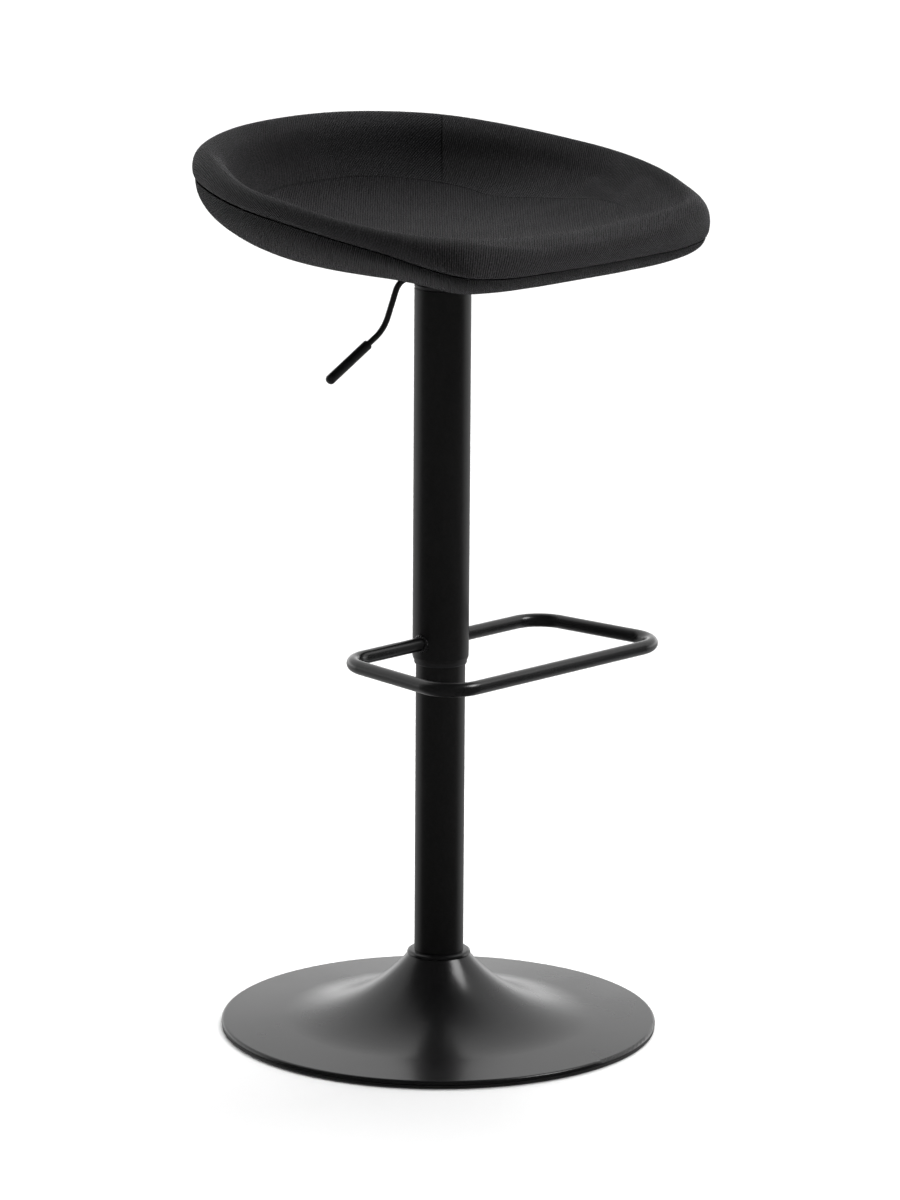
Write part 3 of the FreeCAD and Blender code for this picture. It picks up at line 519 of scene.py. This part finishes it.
# ---------------------------------------------------------------- materials
class Finish:
    """A material under construction: its nodes, its shader, and short ways to add to them."""

    def __init__(self, name, color, roughness, metallic=0.0):
        self.material = bpy.data.materials.new(name)
        self.material.use_nodes = True
        self.tree = self.material.node_tree
        self.shader = self.tree.nodes["Principled BSDF"]
        self.shader.inputs["Base Color"].default_value = (*color, 1.0)
        self.shader.inputs["Roughness"].default_value = roughness
        self.shader.inputs["Metallic"].default_value = metallic
        self.material.diffuse_color = (*color, 1.0)

    def put(self, target, value):
        """Links a socket to an input, or sets a plain value on it."""
        if isinstance(value, bpy.types.NodeSocket):
            self.tree.links.new(value, target)
        else:
            target.default_value = value

    def node(self, kind, inputs=None, **settings):
        """A new node with its settings and inputs."""
        made = self.tree.nodes.new("ShaderNode" + kind)
        for name, value in settings.items():
            setattr(made, name, value)
        for name, value in (inputs or {}).items():
            self.put(made.inputs[name], value)
        return made

    def math(self, operation, first, second=0.0, third=0.0):
        """The result of one math node."""
        made = self.node("Math", {0: first, 1: second, 2: third}, operation=operation)
        return made.outputs[0]

    def place(self):
        """The point's own place on its piece, in metres."""
        return self.node("TexCoord").outputs["Object"]

    def noise(self, place, scale, detail=3.0, roughness=0.5):
        """Noise from 0 to 1, with scale in blobs per metre."""
        made = self.node("TexNoise", {"Vector": place, "Scale": scale, "Detail": detail,
                                      "Roughness": roughness})
        return made.outputs["Fac"]

    def spread(self, value, low, high, to_low, to_high):
        """Maps a range of values onto another, clamped."""
        made = self.node("MapRange", {"Value": value, "From Min": low, "From Max": high,
                                      "To Min": to_low, "To Max": to_high})
        return made.outputs["Result"]

    def tint(self, share, first, second):
        """A colour between two, by a share from 0 to 1."""
        made = self.node("Mix", data_type="RGBA")
        self.put(made.inputs["Factor"], share)
        colors = [socket for socket in made.inputs if socket.type == "RGBA"]
        colors[0].default_value = (*first, 1.0)
        colors[1].default_value = (*second, 1.0)
        return [socket for socket in made.outputs if socket.type == "RGBA"][0]

    def color(self, value):
        """The base colour, from a socket."""
        self.put(self.shader.inputs["Base Color"], value)

    def roughness(self, value):
        """The roughness, from a socket."""
        self.put(self.shader.inputs["Roughness"], value)

    def bump(self, height, distance, strength=1.0):
        """Relief of a height from 0 to 1 that stands distance metres high."""
        made = self.node("Bump", {"Height": height, "Distance": distance, "Strength": strength})
        self.put(self.shader.inputs["Normal"], made.outputs["Normal"])

    def set(self, **values):
        """Plain values on the shader's own sockets."""
        for name, value in values.items():
            self.shader.inputs[name.replace("_", " ")].default_value = value


def fabric(name, dark, light, rib, seams):
    """Black melange twill: slanting ribs, knots along them, loose fibres, and light speckles that are
    partly pale fibres and partly painted glints; with seams, the colour is darkened as painted shade
    in the seam dips.
    """
    wander = 2.2
    knots_to_ribs = 1.7
    rib_share = 0.4
    knot_share = 0.22
    fibre_share = 0.35
    speck_and_glint_share = 0.8
    relief = 0.0017

    finish = Finish(name, dark, 0.9)
    weave = finish.node("UVMap", uv_map="weave").outputs["UV"]
    parts = finish.node("SeparateXYZ", {"Vector": weave})
    across = parts.outputs["X"]
    along = parts.outputs["Y"]
    slant = math.sqrt(0.5) * 2 * math.pi / rib
    over_rib = finish.math("MULTIPLY", finish.math("SUBTRACT", across, along), slant)
    on_rib = finish.math("MULTIPLY", finish.math("ADD", across, along), slant)
    wobble = finish.math("MULTIPLY", finish.noise(weave, 260.0, 2.0), wander)
    ribs = finish.math("SINE", finish.math("ADD", over_rib, wobble))
    along_knots = finish.math("MULTIPLY", on_rib, knots_to_ribs)
    knots = finish.math("SINE", finish.math("ADD", along_knots, over_rib))
    threads = finish.math("ADD", finish.math("MULTIPLY", ribs, rib_share),
                          finish.math("MULTIPLY", knots, knot_share))
    fibres = finish.noise(weave, 1900.0, 4.0, 0.7)
    height = finish.math("ADD", finish.math("ADD", threads, 0.5),
                         finish.math("MULTIPLY", fibres, fibre_share))
    # the seams' dip gives the relief, and it is also painted shade in the colour below
    dip_and_shade = seam_dip_and_shade(finish) if seams else 0.0
    height = finish.math("SUBTRACT", height, dip_and_shade)
    # painted glints: the light speckles stand partly for pale fibres in the yarn and partly for glints
    # off the fibres
    specks_and_glints = finish.spread(finish.noise(weave, 620.0, 3.0, 0.6), 0.52, 0.7, 0.0, 1.0)
    patches = finish.spread(finish.noise(weave, 14.0, 3.0, 0.5), 0.35, 0.7, 0.0, 0.08)
    lightness = finish.spread(height, 0.5, 1.2, 0.0, 0.45)
    lightness = finish.math("ADD", lightness, finish.math("MULTIPLY", specks_and_glints, speck_and_glint_share))
    lightness = finish.math("ADD", lightness, patches)
    # painted shade: the cloth's colour darkens in the seam dips and along the cover's edge, here and
    # through the height it is drawn from
    lightness = finish.math("MULTIPLY", lightness, finish.math("SUBTRACT", 1.0, dip_and_shade))
    finish.color(finish.tint(lightness, dark, light))
    finish.roughness(finish.spread(fibres, 0.3, 0.7, 0.52, 0.75))
    finish.bump(height, relief)
    finish.set(Sheen_Weight=0.12, Sheen_Roughness=0.3, Specular_IOR_Level=0.12)
    finish.shader.inputs["Sheen Tint"].default_value = (0.9, 0.9, 0.93, 1.0)
    return finish.material


# how far from a seam, in metres, the cloth starts to dip towards it and its colour starts to darken as
# painted shade
SEAM_HALF_WIDTH = 0.0013
EDGE_HALF_WIDTH = 0.003


def seam_dip_and_shade(finish):
    """How deep the sewn seams pull the cloth in, from the distances laid on the mesh. The same depth
    also darkens the cloth's colour as painted shade in the seams.
    """
    def distance(name):
        return finish.math("ABSOLUTE", finish.node("Attribute", attribute_name=name).outputs["Fac"])

    def dip_and_shade(name, half_width):
        return finish.spread(distance(name), 0.0, half_width, 1.0, 0.0)

    fade = finish.node("Attribute", attribute_name="panel_seam_depth").outputs["Fac"]
    above = finish.node("Attribute", attribute_name="above_panel_seam").outputs["Fac"]
    panel = finish.math("MULTIPLY", dip_and_shade("to_panel_seam", SEAM_HALF_WIDTH), fade)
    back = finish.math("MULTIPLY", dip_and_shade("to_back_seam", SEAM_HALF_WIDTH),
                       finish.math("MAXIMUM", above, 0.0))
    sewn = finish.math("MAXIMUM", panel, back)
    return finish.math("MAXIMUM", sewn, dip_and_shade("to_edge", EDGE_HALF_WIDTH))


def paint(name, color, roughness, coat=0.0, gloss=0.5):
    """Black powder coat: a fine orange-peel surface, cleaner and duller in places."""
    finish = Finish(name, color, roughness)
    place = finish.place()
    clouds = finish.noise(place, 9.0, 3.0)
    flecks = finish.spread(finish.noise(place, 520.0, 2.0), 0.35, 0.7, 0.0, 1.0)
    finish.color(finish.tint(flecks, color, tuple(part * 1.35 + 0.002 for part in color)))
    finish.roughness(finish.spread(clouds, 0.3, 0.7, roughness - 0.03, roughness + 0.05))
    finish.bump(finish.noise(place, 900.0, 2.0), 0.00004, 0.35)
    finish.set(Coat_Weight=coat, Coat_Roughness=0.12, Specular_IOR_Level=gloss)
    return finish.material


def moulded(name, color, roughness, grain, depth):
    """Moulded plastic or rubber: an even spark-eroded grain with duller, rubbed patches."""
    finish = Finish(name, color, roughness)
    place = finish.place()
    marks = finish.noise(place, grain, 3.0, 0.6)
    rubbed = finish.spread(finish.noise(place, 35.0, 3.0), 0.4, 0.75, 0.0, 1.0)
    finish.color(finish.tint(rubbed, color, tuple(part * 1.4 + 0.004 for part in color)))
    finish.roughness(finish.spread(marks, 0.3, 0.7, roughness - 0.06, roughness + 0.08))
    finish.bump(marks, depth, 0.5)
    return finish.material


def bare_metal(name, color, roughness, streak=(1.0, 1.0, 12.0), spots=0.25):
    """Plated or machined metal: fine tool streaks, and colour that shifts a little."""
    finish = Finish(name, color, roughness, metallic=1.0)
    place = finish.place()
    stretched = finish.node("Mapping", {"Vector": place, "Scale": streak}).outputs["Vector"]
    streaks = finish.noise(stretched, 380.0, 4.0, 0.6)
    cloudy = finish.spread(finish.noise(place, 60.0, 3.0), 0.35, 0.7, 0.0, 1.0)
    finish.color(finish.tint(cloudy, color, tuple(part * (1 - spots) for part in color)))
    finish.roughness(finish.spread(streaks, 0.3, 0.7, roughness - 0.07, roughness + 0.1))
    finish.bump(streaks, 0.00003, 0.4)
    return finish.material


def cast_iron(name):
    """Bare cast iron: coarse sand grain and patches of brown oxide."""
    iron = (0.16, 0.155, 0.15)
    rust = (0.12, 0.06, 0.035)
    finish = Finish(name, iron, 0.6, metallic=0.9)
    place = finish.place()
    sand = finish.noise(place, 700.0, 5.0, 0.7)
    oxide = finish.spread(finish.noise(place, 28.0, 5.0, 0.65), 0.5, 0.68, 0.0, 1.0)
    finish.color(finish.tint(oxide, iron, rust))
    finish.roughness(finish.spread(oxide, 0.0, 1.0, 0.5, 0.85))
    finish.bump(sand, 0.0002, 0.6)
    return finish.material


def foam_finish(name):
    """Cut polyurethane foam: open cells and faint yellowing."""
    finish = Finish(name, (0.62, 0.58, 0.47), 0.95)
    place = finish.place()
    cells = finish.node("TexVoronoi", {"Vector": place, "Scale": 900.0}).outputs["Distance"]
    yellow = finish.spread(finish.noise(place, 12.0, 3.0), 0.3, 0.7, 0.0, 1.0)
    finish.color(finish.tint(yellow, (0.66, 0.63, 0.54), (0.6, 0.52, 0.36)))
    finish.bump(cells, 0.0005, 0.7)
    return finish.material


def thread_finish(name):
    """Polyester sewing thread: two plies that wind round each other."""
    finish = Finish(name, (0.008, 0.008, 0.009), 0.6)
    place = finish.place()
    plies = finish.node("TexWave", {"Vector": place, "Scale": 900.0, "Distortion": 1.5},
                        bands_direction="DIAGONAL").outputs["Fac"]
    finish.color(finish.tint(plies, (0.005, 0.005, 0.006), (0.02, 0.02, 0.022)))
    finish.bump(plies, 0.0001, 0.6)
    finish.set(Sheen_Weight=0.2)
    return finish.material


COAT_BLACK = (0.006, 0.006, 0.0063)
FINISHES = {
    "base_paint": paint("base_powder_coat", COAT_BLACK, 0.24),
    "column_paint": paint("column_powder_coat", (0.006, 0.0057, 0.0058), 0.34, gloss=0.4),
    "footrest_paint": paint("footrest_powder_coat", COAT_BLACK, 0.26, coat=0.2),
    "floor_rubber": moulded("floor_ring_rubber", (0.012, 0.012, 0.012), 0.55, 1400.0, 0.00008),
    "black_plastic": moulded("moulded_black_plastic", (0.012, 0.012, 0.013), 0.42, 1600.0, 0.00005),
    "grip_plastic": moulded("grip_plastic", (0.010, 0.010, 0.0105), 0.38, 1500.0, 0.00006),
    "zinc_steel": bare_metal("zinc_plated_steel", (0.56, 0.56, 0.58), 0.34),
    "rod_steel": bare_metal("hard_chromed_rod", (0.72, 0.72, 0.74), 0.12, (12.0, 12.0, 1.0), 0.08),
    "tube_steel": paint("gas_spring_lacquer", (0.012, 0.012, 0.014), 0.3),
    "ballast_iron": cast_iron("ballast_cast_iron"),
    "black_steel": paint("black_lacquered_steel", (0.012, 0.012, 0.012), 0.36),
    "bump_rubber": moulded("bump_rubber", (0.01, 0.01, 0.01), 0.7, 1200.0, 0.0001),
    "shell_plastic": moulded("moulded_polypropylene", (0.03, 0.03, 0.03), 0.5, 1100.0, 0.00008),
    "foam": foam_finish("polyurethane_foam"),
    "seat_fabric": fabric("seat_twill", (0.0005, 0.0005, 0.0006), (0.078, 0.0757, 0.0795),
                          rib=0.0024, seams=True),
    "under_fabric": fabric("under_twill", (0.0004, 0.0004, 0.0005), (0.017, 0.0165, 0.0173),
                           rib=0.0022, seams=False),
}


def finish_piece(piece, material, body):
    """Gives a new piece its material and slot, and the body it rides on."""
    piece.data.materials.clear()
    piece.data.materials.append(material)
    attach(piece, body)


# ---------------------------------------------------------------- CAD nodes, with better materials
for row in frame["record"]["subparts"]:
    node = frame["nodes"][row["node"]]
    for material_slot in node.material_slots:
        material_slot.material = FINISHES[row["material_slot"]]

# ---------------------------------------------------------------- new pieces
top_cover = build_top_cover()
under_cover = build_under_cover()
subdivided(top_cover, 1)
subdivided(under_cover, 1)
finish_piece(top_cover, FINISHES["seat_fabric"], "seat")
finish_piece(under_cover, FINISHES["under_fabric"], "seat")
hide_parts("top_cover", "seat_foam")
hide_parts("under_cover", "seat_shell")

stitches = build_stitches("seat_seam_stitches", outer_seam(), surface_tree(top_cover))
finish_piece(stitches, thread_finish("seam_thread"), "seat")

for side, name in ((1, "left"), (-1, "right")):
    bead = build_weld_bead("weld_bead_" + name, side)
    subdivided(bead, 1)
    finish_piece(bead, FINISHES["footrest_paint"], "seat")
    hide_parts("footrest_welds")

# ---------------------------------------------------------------- floor, light and camera
FLOOR_REACH = 40.0
floor_points = [(-FLOOR_REACH, -FLOOR_REACH, 0), (FLOOR_REACH, -FLOOR_REACH, 0),
                (FLOOR_REACH, FLOOR_REACH, 0), (-FLOOR_REACH, FLOOR_REACH, 0)]
floor = new_piece("floor", floor_points, [(0, 1, 2, 3)], smooth=False)
floor_finish = Finish("pale_floor", (0.95, 0.95, 0.95), 0.75)
floor_finish.set(Specular_IOR_Level=0.1)
floor.data.materials.append(floor_finish.material)
floor.visible_glossy = False

# Where the camera stands round the stool, in degrees from straight in front. The light and
# the backdrop are set out from there too.
CAMERA_SIDE = -45.5
DISTANCE = 6.0
CAMERA_HEIGHT = 1.8427
HEADING = math.radians(-45.587)
PITCH = math.radians(13.114)
ROLL = math.radians(0.384)
LENS = 183.6
camera = bpy.data.objects.new("camera", bpy.data.cameras.new("camera"))
scene.collection.objects.link(camera)
camera.data.lens = LENS
camera.data.sensor_width = 36.0
stand = (Matrix.Rotation(math.radians(CAMERA_SIDE), 4, "Z")
         @ Matrix.Translation((0, -DISTANCE, CAMERA_HEIGHT)))
camera.matrix_world = (Matrix.Translation(stand.translation) @ Matrix.Rotation(HEADING, 4, "Z")
                       @ Matrix.Rotation(math.pi / 2 - PITCH, 4, "X") @ Matrix.Rotation(ROLL, 4, "Z"))
scene.camera = camera


def add_softbox(name, heading, elevation, distance, size, power, aim):
    """A large square light, placed round the stool by heading and elevation in degrees.

    Heading 0 is the camera's side, and 90 is to the camera's right. It points at the height
    aim on the column's axis.
    """
    light = bpy.data.lights.new(name, "AREA")
    light.shape = "SQUARE"
    light.size = size
    light.energy = power
    lamp = bpy.data.objects.new(name, light)
    scene.collection.objects.link(lamp)
    turn = math.radians(CAMERA_SIDE + heading)
    rise = math.radians(elevation)
    target = Vector((0, 0, aim))
    place = target + distance * Vector((math.sin(turn) * math.cos(rise),
                                        -math.cos(turn) * math.cos(rise), math.sin(rise)))
    lamp.matrix_world = (Matrix.Translation(place)
                         @ (target - place).to_track_quat("-Z", "Y").to_matrix().to_4x4())
    lamp.visible_camera = False


add_softbox("right_light", heading=80, elevation=46, distance=2.6, size=1.0, power=26, aim=0.5)

# broad light from above, and from a little behind the stool as the camera sees it
overhead = bpy.data.objects.new("overhead_light", bpy.data.lights.new("overhead_light", "SUN"))
scene.collection.objects.link(overhead)
overhead.data.energy = 3.1
overhead.data.angle = math.radians(50)
overhead.visible_glossy = False
overhead.rotation_euler = (math.radians(-26), math.radians(6), math.radians(CAMERA_SIDE))


# how bright the room, the foot of the backdrop and the backdrop above it are
ROOM = 0.06
WALL_FOOT = 1.8
WALL = 0.85


def studio_world():
    """A white backdrop behind the stool, brightest at its foot, in a dark room."""
    world = bpy.data.worlds.new("studio")
    world.use_nodes = True
    tree = world.node_tree
    background = tree.nodes["Background"]

    def node(kind, *inputs, **settings):
        made = tree.nodes.new("ShaderNode" + kind)
        for name, value in settings.items():
            setattr(made, name, value)
        for index, value in enumerate(inputs):
            if isinstance(value, bpy.types.NodeSocket):
                tree.links.new(value, made.inputs[index])
            else:
                made.inputs[index].default_value = value
        return made

    direction = node("TexCoord").outputs["Generated"]
    behind = (-math.sin(math.radians(CAMERA_SIDE)), math.cos(math.radians(CAMERA_SIDE)), 0.0)
    facing = node("VectorMath", direction, behind, operation="DOT_PRODUCT").outputs["Value"]
    height = node("SeparateXYZ", direction).outputs["Z"]
    back = node("MapRange", facing, 0.0, 0.32, 0.0, 1.0,
                interpolation_type="SMOOTHSTEP").outputs["Result"]
    low = node("MapRange", height, 0.05, 0.3, WALL_FOOT, WALL).outputs["Result"]
    high = node("MapRange", height, 0.75, 1.0, 1.0, 0.3).outputs["Result"]
    floor_side = node("MapRange", height, -0.15, 0.04, 0.3, 1.0).outputs["Result"]
    wall = back
    for part in (low, high, floor_side):
        wall = node("Math", wall, part, operation="MULTIPLY").outputs[0]
    light = node("Math", wall, ROOM, operation="MAXIMUM").outputs[0]
    seen = node("LightPath").outputs["Is Camera Ray"]
    strength = node("Math", light, seen, operation="MAXIMUM").outputs[0]
    tree.links.new(strength, background.inputs["Strength"])
    background.inputs["Color"].default_value = (1.0, 1.0, 1.0, 1.0)
    return world


scene.world = studio_world()
scene.view_settings.view_transform = "Standard"
